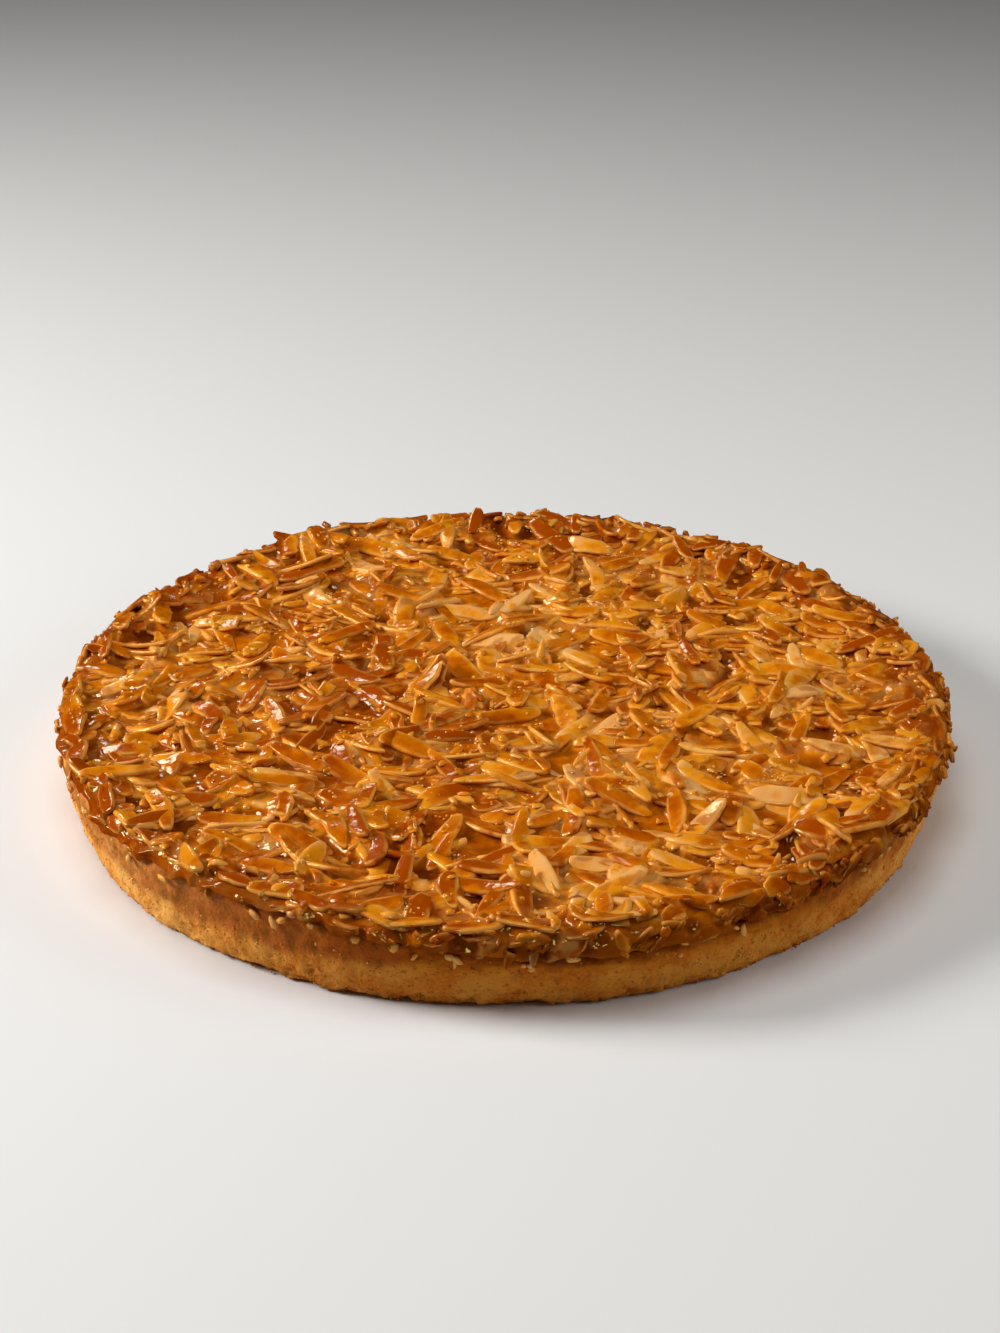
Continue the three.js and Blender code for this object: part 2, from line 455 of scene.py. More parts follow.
def solid_flakes():
    """The flakes that the solid carries: those over the field, then those along the rim."""
    draws = solid_draws(FLAKE_SEED)

    def between(least, most):
        """The next draw, between two values."""
        return mix(least, most, next(draws))

    field = []
    for i in range(FIELD_FLAKES):
        radius = FIELD_REACH * math.sqrt((i + 0.5) / FIELD_FLAKES)
        x = radius * math.cos(i * GOLDEN_ANGLE) + between(-2.6, 2.6)
        y = radius * math.sin(i * GOLDEN_ANGLE) + between(-2.6, 2.6)
        next(draws)
        turn = between(-math.pi, math.pi)
        next(draws)
        next(draws)
        long = between(15, 24)
        spot = spot_inside(math.hypot(x, y), math.atan2(y, x), long, turn)
        field.append(new_flake(spot, long, 0.85 * between(5, 8.6), turn))
    rim = []
    for i in range(RIM_FLAKES):
        angle = (i + between(-0.3, 0.3)) * 2 * math.pi / RIM_FLAKES
        radius = between(*RIM_RADII)
        tipped_up = next(draws) < 0.4
        z = CREST_HEIGHT_SOLID + waves(CREST_WAVES, angle) - between(0.2, 0.8)
        turn = angle + math.pi / 2 + between(-0.45, 0.45)
        roll = -between(0.08, 0.4) if tipped_up else between(0.15, 0.6)
        pitch = between(-0.11, 0.11)
        flake = new_flake(ring_spot(radius, angle), between(11, 18), between(4.3, 6.8), turn)
        rim.append(posed(flake, z, roll, pitch))
    return field, rim


def cut_or_whole(cut_share):
    """Where a flake is broken across: its far end stays when it is whole."""
    return rng.uniform(-0.3, 0.6) if rng.uniform() < cut_share else 1.0


def spot_inside(radius, angle, length, turn):
    """A flake's place, moved in where its tip would stand out over the rim."""
    furthest = TIP_REACH - 0.5 * length * abs(math.cos(turn - angle))
    return ring_spot(min(radius, furthest), angle)


def loose_flakes(count, length, width, reach, cut_share=0.25, rim=1.0):
    """Flakes thrown evenly over the field, some of them broken across."""
    flakes = []
    for _ in range(count):
        radius = reach * math.sqrt(rng.uniform())
        angle = rng.uniform(-math.pi, math.pi)
        turn = rng.uniform(-math.pi, math.pi)
        long = rng.uniform(*length)
        flakes.append(new_flake(spot_inside(radius, angle, long, turn), long, rng.uniform(*width),
                                turn, cut_or_whole(cut_share), rim))
    return flakes


# Limits for the flakes on the side and along the rim
HIGHEST_HANG = 25.0
HIGHEST_SPOT = 26.0
HIGHEST_EDGE = 26.5
TIP_HEIGHT = 24.0
STUB_RADII = (125.0, 130.5)


def side_flakes(count, length, width, height, turn_spread, cut_share=0.3, rim=1.0):
    """Flakes thrown over the unrolled side: x runs round it, and y is the height."""
    flakes = []
    for i in range(count):
        long = rng.uniform(*length)
        turn = rng.normal(0, turn_spread)
        hang = 0.4 * long * abs(math.sin(turn))
        run = (i + rng.uniform()) / count * side.width
        if rng.uniform() < 0.8 * soaked_left(run / SIDE_RADIUS):
            continue
        lowest = pastry_top(run / SIDE_RADIUS) + 0.5
        if lowest + hang > HIGHEST_HANG:
            continue
        spot = (run, min(max(lowest, rng.uniform(*height)) + 0.8 * hang, HIGHEST_SPOT - 1.25 * hang))
        flake = new_flake(spot, long, rng.uniform(*width), turn, cut_or_whole(cut_share), rim)
        flake["tone"] *= 0.8
        flakes.append(flake)
    return flakes


def edge_on_flakes(count):
    """Flakes in layers along the side with one long edge out of it, most of them tilted down and out."""
    flakes = []
    for angle in angles_round(count):
        if rng.uniform() < 0.75 * soaked_left(angle) + 0.45 * baked_front(angle):
            continue
        height = rng.uniform(pastry_top(angle) + 1.0, HIGHEST_EDGE)
        roll = rng.uniform(-0.1, 0.9)
        width = rng.uniform(3.5, 6.0)
        buried = width / 2 * math.cos(roll) - rng.uniform(0.3, 1.5) + 1.2 * drawn_up(angle)
        radius = side_radius(height, angle) - buried
        turn = angle + math.pi / 2 + np.clip(rng.normal(0, 0.08), -0.14, 0.14)
        spot = ring_spot(radius, angle)
        flake = new_flake(spot, rng.uniform(7, 15), width, turn, cut_or_whole(0.3), rim=0.8)
        flakes.append(posed(flake, height, roll, rng.normal(0, 0.14)))
    return flakes


def hanging_flakes(count):
    """Flakes that lie out over the crest with their tips down the side."""
    flakes = []
    for angle in angles_round(count):
        long = rng.uniform(8, 14)
        crest = CREST_HEIGHT + waves(CREST_WAVES, angle) + rng.uniform(-0.6, 0.8)
        room = crest - pastry_top(angle) + 0.5 + 3.0 * soaked_left(angle)
        steepest = math.asin(min(0.9, room / long))
        pitch = min(rng.uniform(0.45, 1.1), steepest)
        tip = side_radius(TIP_HEIGHT, angle) + rng.uniform(0.2, 1.3) - 0.7 * drawn_up(angle)
        spot = ring_spot(tip - 0.5 * long * math.cos(pitch), angle)
        flake = new_flake(spot, long, rng.uniform(2.6, 4.4), angle + rng.normal(0, 0.4))
        flakes.append(posed(flake, crest - 0.5 * long * math.sin(pitch), rng.normal(0, 0.2), pitch))
    return flakes


def rising_flakes(count):
    """Flakes whose outer tips stand up over the crest, most of them along the back."""
    flakes = []
    for angle in angles_round(count):
        if rng.uniform() > mix(0.25, 0.9, step(math.sin(angle), -0.1, 0.3)):
            continue
        long = rng.uniform(9, 15)
        pitch = -rng.uniform(0.05, 0.26)
        radius = TIP_REACH - 0.5 - rng.uniform(0, 3) - 0.5 * long * math.cos(pitch)
        spot = ring_spot(radius, angle)
        height = CREST_HEIGHT + waves(CREST_WAVES, angle) - 1.0 - 0.5 * long * math.sin(pitch)
        flake = new_flake(spot, long, rng.uniform(3.0, 5.4), angle + rng.normal(0, 0.7))
        flakes.append(posed(flake, height, rng.normal(0, 0.2), pitch))
    return flakes


def rim_stubs(count):
    """Short thick stubs of almond that stand out of the crest, turned all ways."""
    flakes = []
    for angle in angles_round(count):
        radius = rng.uniform(*STUB_RADII)
        height = CREST_HEIGHT + waves(CREST_WAVES, angle) + rng.uniform(-0.8, 0.8)
        turn = rng.uniform(-math.pi, math.pi)
        length = rng.uniform(4.5, 9.0)
        width = rng.uniform(2.4, 4.2)
        flake = new_flake(ring_spot(radius, angle), length, width, turn, cut_or_whole(0.5))
        flake["thickness"] = rng.uniform(1.6, 2.6)
        pitch = np.clip(rng.normal(0, 0.3), -0.4, 0.4)
        flakes.append(posed(flake, height, rng.normal(0, 0.5), pitch))
    return flakes


def wrapped(flakes):
    """Flakes laid on the unrolled side, bent round the tart."""
    for flake in flakes:
        run, z, rise = flake["place"]
        angle = run / SIDE_RADIUS
        out = Vector((math.cos(angle), math.sin(angle), 0))
        round_way = Vector((-math.sin(angle), math.cos(angle), 0))
        axes = Matrix((round_way, (0, 0, 1), out)).transposed()
        radius = side_radius(z, angle) + rise
        flake["place"] = (out.x * radius, out.y * radius, z)
        flake["along"] = (axes @ Vector(flake["along"]))[:]
        flake["up"] = (axes @ Vector(flake["up"]))[:]
    return flakes


DENSE = np.linspace(-1, 1, 41)
DENSE_SHAPE = np.array([(u, v, 1.0) for u in DENSE for v in DENSE[::3]])


def imprint(relief, flakes, to_sheet):
    """Raise a relief to flakes that are posed already; to_sheet gives a point's x, y and height on it."""
    u, v = DENSE_SHAPE[:, 0], DENSE_SHAPE[:, 1]
    for flake, points in zip(flakes, flake_points(flakes, DENSE_SHAPE)):
        x, y, height = to_sheet(points)
        rows = np.round((y - relief.y[0, 0]) / CELL).astype(int)
        columns = np.round((x - relief.x[0, 0]) / CELL).astype(int) % relief.x.shape[1]
        inside = (rows >= 0) & (rows < relief.x.shape[0])
        cells = (rows[inside], columns[inside])
        before = relief.heights[cells]
        np.maximum.at(relief.heights, cells, height[inside])
        shows = height[inside] > before
        cells = (cells[0][shows], cells[1][shows])
        relief.tone[cells] = flake_tone(flake, u, v)[inside][shows]
        relief.rim[cells] = (flake["rim"] * pale_edge(u, v))[inside][shows]
    return flakes


def on_top(points):
    """A point's place on the upper sheet, and its height."""
    return points.T


def on_side(points):
    """A point's run round the side, its height, and how far it stands out."""
    radius, angle = about_axis(points)
    height = points[:, 2]
    return run_round(angle), height, radius - side_radius(height, angle)


# The upper face: three layers of flakes on a bed

top_line = np.arange(-SHEET_REACH, SHEET_REACH + CELL, CELL)
top = Relief(top_line, top_line, wraps=False)
top_radius = np.hypot(top.x, top.y)
crest_line = CREST_HEIGHT - 1.4 + waves(CREST_WAVES, np.arctan2(top.y, top.x))
bed = BED_HEIGHT + 0.4 * top.bumps(30)
top.heights = mix(bed, crest_line, step(top_radius, FIELD_RADIUS - 4, CREST_RADIUS))
top.allowed = top_radius < CREST_RADIUS + 0.5
top.looseness = 1 - 0.65 * step(top_radius, 108, 124)

field_flakes, rim_flakes = solid_flakes()
lower = laid(top, loose_flakes(260, length=(14, 23), width=(5, 8.4), reach=130))
slivers = loose_flakes(220, length=(9, 19), width=(2, 3.4), reach=130, cut_share=0.3)
slivers = laid(top, thickened(slivers, SLIVER_THICKNESS))
lower_heights = top.heights.copy()
middle = loose_flakes(360, length=(13, 22), width=(3.8, 6.6), reach=130, cut_share=0.3)
middle = laid(top, middle, sink=0.3, spare_tilt=0.1, rest_share=0.55)
bits = loose_flakes(450, length=(2.4, 6), width=(1.6, 3.6), reach=131, cut_share=0.6, rim=0.3)
bits = laid(top, thickened(bits, BIT_THICKNESS), sink=0.4, spare_tilt=0.12)
more_slivers = loose_flakes(150, length=(7, 16), width=(1.8, 3.4), reach=130, cut_share=0.4)
slivers += laid(top, thickened(more_slivers, SLIVER_THICKNESS), spare_tilt=0.07)
hanging = hanging_flakes(64)
rising = rising_flakes(70) + rim_stubs(110)
imprint(top, rim_flakes + hanging + rising, on_top)
upper = loose_flakes(120, length=(14, 26), width=(3.8, 6.8), reach=128, cut_share=0.3) + field_flakes
upper = laid(top, upper, sink=0.3, spare_tilt=0.11, rest_share=0.55)
more_bits = loose_flakes(200, length=(1.8, 4.5), width=(1.4, 2.8), reach=129, cut_share=0.6, rim=0.3)
bits += laid(top, thickened(more_bits, BIT_THICKNESS), sink=0.4, spare_tilt=0.12)
for bit in bits:
    bit["tone"] = rng.uniform(0.6, 1.15)
    bit["dish"] = 0.0

# The side: flakes pressed to the wall, most of them lying along it

side = Relief(np.arange(0, 2 * math.pi * SIDE_RADIUS, CELL), np.arange(*SIDE_SHEET, CELL), wraps=True)
side.allowed = (side.y > WALL_SPAN[0]) & (side.y < WALL_SPAN[1])
side.heights = 0.7 * side.bumps(9) + 0.5 * side.bumps(4) - 2.2 * step(side.bumps(6), 1.0, 1.7)
wall_slivers = side_flakes(150, length=(5, 12), width=(1.7, 3.0), height=(18, 26), turn_spread=0.8,
                           cut_share=0.4, rim=0.8)
wall_slivers = laid(side, wall_slivers, sink=0.5, spare_tilt=0.12)
edge_on = imprint(side, edge_on_flakes(270), on_side)
imprint(side, rim_flakes + hanging + rising, on_side)
wall_bits = side_flakes(260, length=(2, 6), width=(1.3, 2.8), height=(17, 26), turn_spread=1.5,
                        cut_share=0.5, rim=0.6)
wall_bits = laid(side, thickened(wall_bits, BIT_THICKNESS), sink=0.4, spare_tilt=0.12)


# Caramel: a film over the flakes that pools in the gaps

def film_heights(relief, cover, bridged, slope, patches, low=None):
    """Heights of the film: smooth over the flakes, below their faces by the cover, and thick in patches."""
    smooth = relief.blurred(gentle(closed_gaps(relief.heights, bridged), slope), 0.5)
    film = smooth - cover + patches + 0.12 * relief.bumps(4)
    if low is not None:
        film = np.maximum(film, low)
    return film


pooled = top.blurred(closed_gaps(lower_heights, 4.5), 1.6) - 0.4 - 0.2 * top.bumps(11)
top.film = film_heights(top, cover=0.6, bridged=1.7, slope=1.3, patches=0.4 * top.bumps(15), low=pooled)
top.film_mean = top.blurred(top.film, 4.0)
top.tone = top.blurred(top.tone, 0.4)
top.rim = top.blurred(top.rim, 0.4)
wall_angle = side.x / SIDE_RADIUS
front = baked_front(wall_angle)
flowed = flowed_over(wall_angle)
lip = front * (1 - step(side.y, 18.0, 22.0))
run_down = 0.6 * front + (0.35 + 0.7 * front) * side.bumps(5)
run_down = run_down - 1.6 * front * step(side.bumps(5), 0.8, 1.4)
run_down = run_down + flowed * (0.8 + 0.8 * side.bumps(7))
side_film = film_heights(side, cover=0.35, bridged=1.2, slope=1.6, patches=run_down + 0.9 * lip)
side.film = np.clip(side_film, -2.5, 1.4 + flowed + 0.6 * lip)
side.film_mean = side.blurred(side.film, 4.0)
wrapped(wall_slivers + wall_bits)


# Meshes

def finished_piece(name, mesh, material, replaced=None):
    """Put a mesh in the scene as a piece that rides on the tart."""
    mesh.materials.append(material)
    mesh.shade_smooth()
    piece = bpy.data.objects.new(name, mesh)
    bpy.context.collection.objects.link(piece)
    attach(piece, "root")
    if replaced:
        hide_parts(replaced)
    return piece


def point_values(mesh, name, values):
    """Keep one number a vertex, for the material to read."""
    attribute = mesh.attributes.new(name, "FLOAT", "POINT")
    attribute.data.foreach_set("value", np.asarray(values, dtype=np.float32))


def mesh_points(mesh):
    """The places of a mesh's vertices, one row a vertex."""
    points = np.empty(3 * len(mesh.vertices))
    mesh.vertices.foreach_get("co", points)
    return points.reshape(-1, 3)


def set_mesh_points(mesh, points):
    """Move a mesh's vertices to new places."""
    mesh.vertices.foreach_set("co", np.ascontiguousarray(points).ravel())
    mesh.update()


def slab(along_lines, across_lines):
    """A thin closed slab over a grid: points as (u, v, side) and faces, side 1 above and -1 below."""
    bm = bmesh.new()
    bmesh.ops.create_grid(bm, x_segments=len(along_lines) - 1, y_segments=len(across_lines) - 1, size=1)
    for vert in bm.verts:
        column = round((vert.co.x + 1) / 2 * (len(along_lines) - 1))
        row = round((vert.co.y + 1) / 2 * (len(across_lines) - 1))
        vert.co = (along_lines[column], across_lines[row], 0)
    bmesh.ops.solidify(bm, geom=bm.faces[:], thickness=1.0)
    bmesh.ops.recalc_face_normals(bm, faces=bm.faces[:])
    points = np.array([vert.co[:] for vert in bm.verts])
    middle_height = (points[:, 2].min() + points[:, 2].max()) / 2
    points[:, 2] = np.where(points[:, 2] > middle_height, 1.0, -1.0)
    bm.verts.index_update()
    faces = np.array([[vert.index for vert in face.verts] for face in bm.faces])
    bm.free()
    return points, faces


def joined_mesh(name, points, faces):
    """One mesh from copies of a shape: points has a row a copy, and all copies have the same faces."""
    copies, size = points.shape[:2]
    offsets = np.arange(copies)[:, None, None] * size
    corners = (faces[None] + offsets).reshape(-1, faces.shape[1])
    mesh = bpy.data.meshes.new(name)
    mesh.from_pydata((points.reshape(-1, 3) * MM).tolist(), [], corners.tolist())
    return mesh


def film_over(points):
    """How far the caramel stands over points of the flakes, on the upper face or on the side."""
    x, y, z = points.T
    radius, angle = about_axis(points)
    over_top = top.sampled(top.film, x, y) - z
    over_side = side_radius(z, angle) + side.sampled(side.film, run_round(angle), z) - radius
    return np.where(radius > CREST_RADIUS - 0.5, over_side, over_top)


def flake_shade(points):
    """How dark flakes are at points: darker caramel with painted shade low on the side, most at the front,
    and browning along the rim.
    """
    radius, angle = about_axis(points)
    spared = 1 - 0.85 * soaked_left(angle)
    shade_top = WALL_SHADE_TOP + 1.8 * baked_front(angle)
    low = 1 - step(points[:, 2], shade_top - WALL_SHADE_DEPTH, shade_top)
    on_wall = spared * step(radius, *WALL_SHADE_RADII) * low
    at_rim = mix(0.2, 0.46, browned_rim(angle)) * step(radius, *FLAKE_BROWNING)
    return np.maximum(on_wall, at_rim)


# Lines across a flake's slab, from edge to edge
FINE_ALONG = (-1, -0.96, -0.82, -0.45, 0, 0.45, 0.82, 0.96, 1)
FINE_ACROSS = (-1, -0.9, -0.6, 0, 0.6, 0.9, 1)
PLAIN_ALONG = (-1, -0.92, -0.5, 0, 0.5, 0.92, 1)
PLAIN_ACROSS = (-1, -0.8, 0, 0.8, 1)
BIT_ALONG = (-1, -0.5, 0.5, 1)
BIT_ACROSS = (-1, 0, 1)


def flake_piece(name, flakes, along_lines, across_lines, material, film_share=0.5):
    """All flakes of one kind as one piece; the film browns them by its share where it stands over them."""
    shape, faces = slab(along_lines, across_lines)
    points = flake_points(flakes, shape)
    mesh = joined_mesh(name, points, faces)
    flat = points.reshape(-1, 3)
    u = shape[:, 0]
    v = shape[:, 1]
    edge = pale_edge(u, v)[None, :] * column(flakes, "rim")
    point_values(mesh, "edge", edge.ravel())
    point_values(mesh, "tone", np.array([flake_tone(flake, u, v) for flake in flakes]).ravel())
    point_values(mesh, "film", step(film_over(flat), -0.1, 0.6) * film_share)
    # Painted shade low on the side and browning along the rim, each flake by its own share
    point_values(mesh, "deep", np.repeat(column(flakes, "shade"), len(shape)) * flake_shade(flat))
    return finished_piece(name, mesh, material)


def lump_piece(name, places, radii, material, slot="almond_caramel", ragged=0.0, facing=None, fineness=1,
               **values):
    """Small lumps as one piece: spheres of their own sizes, made ragged, and turned to face an angle."""
    bm = bmesh.new()
    bmesh.ops.create_icosphere(bm, subdivisions=fineness, radius=1)
    ball = np.array([vert.co[:] for vert in bm.verts])
    faces = np.array([[vert.index for vert in face.verts] for face in bm.faces])
    bm.free()
    swell = 1 + ragged * rng.uniform(-1, 1, (len(places), len(ball), 1))
    lumps = ball[None] * swell * radii[:, None, :]
    if facing is not None:
        lean = rng.normal(0, 0.7, len(places))
        turns = [Euler((tilt, 0, angle)).to_matrix() for tilt, angle in zip(lean, facing)]
        lumps = lumps @ np.array(turns).transpose(0, 2, 1)
    mesh = joined_mesh(name, places[:, None, :] + lumps, faces)
    for key, value in values.items():
        point_values(mesh, key, np.repeat(value, len(ball)))
    return finished_piece(name, mesh, material)


def disc_places(a, b):
    """A square's points, from -1 to 1 each way, moved to a disc with its rings kept."""
    wide = np.abs(a) >= np.abs(b)
    radius = np.where(wide, a, b)
    safe = np.where(radius == 0, 1.0, radius)
    angle = np.where(wide, math.pi / 4 * b / safe, math.pi / 2 - math.pi / 4 * a / safe)
    return radius * np.cos(angle), radius * np.sin(angle)


# Caramel layer

TOP_CELLS = 280
WALL_ROWS = 15

# The lowest rows of the side: the share of the rows above them, how far they turn in and down, and the floor
TUCK_FROM = 0.86
TUCK_DEPTH = 6.0
TUCK_DROP = 1.0
CARAMEL_FLOOR = PASTRY_HEIGHT - 3


def seam_height(angle):
    """Lower edge of the caramel on the side: near the pastry's edge, with lobes where it has run down."""
    ring = ring_places(SIDE_RADIUS, angle, np.zeros(len(angle)))
    lobes = 3.0 * np.maximum(cloud(ring, 15.0, 2), -0.2) + 1.6 * np.maximum(cloud(ring + 50, 5.0), -0.1)
    lobes = lobes + 2.5 * flowed_over(angle) * np.maximum(cloud(ring + 90, 8.0, 2), -0.2)
    return pastry_top(angle) + 0.6 - lobes


def caramel_mesh():
    """A disc over the field whose edge is drawn down the side, row by row, and closed underneath."""
    bm = bmesh.new()
    bmesh.ops.create_grid(bm, x_segments=TOP_CELLS, y_segments=TOP_CELLS, size=1)
    border = [edge for edge in bm.edges if edge.is_boundary]
    for _ in range(WALL_ROWS + 1):
        drawn = bmesh.ops.extrude_edge_only(bm, edges=border)["geom"]
        fresh = [item for item in drawn if isinstance(item, bmesh.types.BMVert)]
        bmesh.ops.translate(bm, verts=fresh, vec=(0, 0, -1))
        border = [item for item in drawn if isinstance(item, bmesh.types.BMEdge) and item.is_boundary]
    bmesh.ops.pointmerge(bm, verts=fresh, merge_co=(0, 0, -WALL_ROWS - 1))
    bmesh.ops.recalc_face_normals(bm, faces=bm.faces[:])
    mesh = bpy.data.meshes.new("caramel_layer")
    bm.to_mesh(mesh)
    bm.free()
    return mesh


def wall_places(angle, down, crest):
    """Places on the side of the caramel: from the crest down to the seam, then in under it."""
    low = np.clip(down / TUCK_FROM, 0, 1)
    height = mix(crest[:, 2], seam_height(angle), low)
    radius = side_radius(height, angle) + side.sampled(side.film, run_round(angle), height)
    radius = mix(about_axis(crest)[0], radius, step(low, 0.0, 0.2))
    tuck = np.clip((down - TUCK_FROM) / (1 - TUCK_FROM), 0, 1)
    return ring_places(radius - TUCK_DEPTH * tuck, angle, height - TUCK_DROP * tuck)


def caramel_places(square):
    """Where the points of the caramel's sheet go, with each one's row down the side and its angle."""
    row = np.round(-square[:, 2]).astype(int)
    disc_x, disc_y = disc_places(square[:, 0], square[:, 1])
    angle = np.arctan2(disc_y, disc_x)
    radius = np.hypot(disc_x, disc_y) * side_radius(SIDE_HEIGHTS[-1], angle)
    places = ring_places(radius, angle, np.zeros(len(angle)))
    places[:, 2] = top.sampled(top.film, places[:, 0], places[:, 1])
    wall = (row > 0) & (row <= WALL_ROWS)
    places[wall] = wall_places(angle[wall], row[wall] / WALL_ROWS, places[wall])
    places[row > WALL_ROWS] = (0, 0, CARAMEL_FLOOR)
    return places, row, angle


def caramel_shade(radius, row, angle, recess):
    """How dark the caramel is: painted shade in hollows, browning along the rim, and darker caramel with
    painted shade low on the side.
    """
    hollow = 0.85 * step(recess, 0.2, 1.4)
    at_rim = mix(0.4, 0.65, browned_rim(angle)) * step(radius, *CARAMEL_BROWNING)
    shade_from = 0.1 - 0.25 * baked_front(angle)
    low_wall = 0.25 + 0.7 * step(row / WALL_ROWS, shade_from, shade_from + 0.5)
    low_wall = np.where(row > 0, low_wall, 0) * (1 - 0.5 * soaked_left(angle))
    low_wall = low_wall * mix(0.4, 1.0, step(recess, -0.6, 0.35))
    return np.maximum.reduce([hollow, at_rim, low_wall])


def caramel_layer(material):
    """The film of caramel over the flakes and down the side."""
    mesh = caramel_mesh()
    places, row, angle = caramel_places(mesh_points(mesh))
    set_mesh_points(mesh, places * MM)
    run = run_round(angle)

    def shown(name):
        """A field's values, from the upper face or from the side."""
        over_top = top.sampled(getattr(top, name), places[:, 0], places[:, 1])
        return np.where(row > 0, side.sampled(getattr(side, name), run, places[:, 2]), over_top)

    thickness = shown("film") - shown("heights")
    recess = shown("film_mean") - shown("film")
    radius = about_axis(places)[0]
    point_values(mesh, "edge", shown("rim") * (1 - step(np.abs(thickness), 0.3, 1.0)))
    point_values(mesh, "tone", shown("tone") - 0.2 * step(thickness, 0.0, 0.6))
    point_values(mesh, "film", step(thickness, 0.1, 1.3))
    # Painted shade in hollows and low on the side, and browning along the rim
    point_values(mesh, "deep", caramel_shade(radius, row, angle, recess))
    return finished_piece("caramel_layer", mesh, material, replaced="almond_topping")


# Pastry

PASTRY_SEGMENTS = 900
SIDE_ROWS = 28

# Heights and radii that part the underside, the foot, the side and the upper edge
FOOT_HEIGHT = 0.7
FOOT_LINE = 0.3
FOOT_FROM = 120.0
EDGE_FROM = 127.0
UNDERSIDE_RINGS = (0.0, 60.0, 110.0, 124.0, FOOT_RADIUS - 1.4)


def pastry_mesh():
    """The base's profile turned about the upright axis."""
    profile = [(radius, 0.0) for radius in UNDERSIDE_RINGS]
    for row in range(SIDE_ROWS + 1):
        rise = row / SIDE_ROWS
        round_off = 1.2 * max(0.0, rise - 0.85) / 0.15
        bulge = 0.5 * math.sin(math.pi * rise)
        radius = mix(FOOT_RADIUS, BORDER_RADIUS, rise) + bulge - round_off ** 2
        profile.append((radius, mix(FOOT_HEIGHT, PASTRY_TOP, rise)))
    profile += [(128.0, PASTRY_TOP), (118.0, PASTRY_HEIGHT), (0.0, PASTRY_HEIGHT)]
    bm = bmesh.new()
    verts = [bm.verts.new((radius, 0, height)) for radius, height in profile]
    edges = [bm.edges.new(pair) for pair in zip(verts, verts[1:])]
    bmesh.ops.spin(bm, geom=verts + edges, cent=(0, 0, 0), axis=(0, 0, 1), angle=2 * math.pi,
                   steps=PASTRY_SEGMENTS, use_merge=True)
    bmesh.ops.remove_doubles(bm, verts=bm.verts[:], dist=1e-4)
    bmesh.ops.recalc_face_normals(bm, faces=bm.faces[:])
    mesh = bpy.data.meshes.new("pastry_crust")
    bm.to_mesh(mesh)
    bm.free()
    return mesh


def pastry_relief(at, side_part):
    """How far points of the side or the foot stand out: lumps and pits on the side, crags low down."""
    lumps = 0.6 * cloud(at, 11.0, 2) + 0.45 * cloud(at + 40, 3.6, 2) + 0.35 * cloud(at + 80, 1.6)
    pits = -0.8 * step(cloud(at + 120, 2.6), 0.3, 0.6)
    low = 1 - step(at[:, 2], 0.5, 4.5)
    crags = low * (0.9 * cloud(at * np.array([1, 1, 0.4]) + 160, 7.0, 2) + 0.9 * cloud(at + 200, 2.0, 2))
    outline = waves(OUTLINE_WAVES, about_axis(at)[1])
    return crags + outline + np.where(side_part, lumps + pits, 0)


def pastry_heights(places, radius, angle, side_part):
    """Heights of the pastry's points: nibbled along the foot, and drawn up to the wavy upper edge."""
    height = places[:, 2]
    ragged = np.maximum(0.5 + 1.2 * cloud(places * np.array([1, 1, 0]), 5.0, 2), 0)
    nibbled = height + np.where(side_part, ragged * (1 - step(height, 0.5, 3.0)), 0)
    stretch = step(height, 6.0, PASTRY_TOP) * (pastry_top(angle) - PASTRY_TOP)
    return nibbled + np.where(radius > EDGE_FROM, stretch, 0)


def pastry_crust(material):
    """The base, with the values that colour it: soaked at the top, painted shade at the front that is
    deepest under the caramel's edge, dark at the foot.
    """
    mesh = pastry_mesh()
    places = mesh_points(mesh)
    radius, angle = about_axis(places)
    above_foot = places[:, 2] > FOOT_LINE
    side_part = (radius > FOOT_RADIUS - 1) & above_foot
    shaped = side_part | (radius > FOOT_FROM) & ~above_foot
    radius[shaped] += pastry_relief(places[shaped], side_part[shaped])
    places = ring_places(radius, angle, pastry_heights(places, radius, angle, side_part))
    set_mesh_points(mesh, places * MM)
    height = places[:, 2]
    soak_line = PASTRY_HEIGHT - 0.5 + 0.6 * waves(BORDER_WAVES, angle) - 3.5 * soaked_left(angle)
    soak_line = soak_line + 2.4 * cloud(places, 14.0, 2) + 1.3 * cloud(places + 30, 4.0, 2)
    point_values(mesh, "soak", step(height - soak_line, -2.2, 1.6))
    # Painted shade at the front, deepest towards the upper edge as a painted shadow under the caramel
    point_values(mesh, "baked", baked_front(angle) * mix(0.7, 1.0, step(height, 8, PASTRY_TOP)))
    point_values(mesh, "foot", 1 - step(height + 0.8 * cloud(places, 5.0), 0.4, 2.6))
    return finished_piece("pastry_crust", mesh, material, replaced="pastry_base")


# Small lumps: beads of caramel on the almonds, almond fragments in the pastry's edge, and crumbs

BEAD_CLUSTERS = 330
BEAD_REACH = 130.0
BEAD_LIMIT = 129.0
FRAGMENTS = 90
CRUMBS = 500
FOOT_CRUMBS = 600


def caramel_beads(material):
    """Bubbles and beads that set in clusters on the upper face."""
    spots = []
    for _ in range(BEAD_CLUSTERS):
        radius = BEAD_REACH * math.sqrt(rng.uniform())
        angle = rng.uniform(-math.pi, math.pi)
        count = 1 + rng.poisson(4)
        spots.append(np.array(ring_spot(radius, angle)) + rng.normal(0, 1.8, (count, 2)))
    spots = np.concatenate(spots)
    spots = spots[np.hypot(*spots.T) < BEAD_LIMIT]
    size = rng.uniform(0.25, 0.5, len(spots)) + 0.4 * rng.uniform(0, 1, len(spots)) ** 5
    surface = np.maximum(top.sampled(top.film, *spots.T), top.sampled(top.heights, *spots.T))
    places = np.column_stack([spots, surface + 0.1 * size])
    widths = rng.uniform(0.85, 1.3, (len(size), 2))
    heights = rng.uniform(0.6, 0.9, len(size))
    radii = size[:, None] * np.column_stack([widths, heights])
    tone = rng.uniform(0.8, 1.25, len(size))
    zero = np.zeros(len(size))
    return lump_piece("caramel_beads", places, radii, material, fineness=0, tone=tone, edge=zero, film=zero,
                      deep=zero)


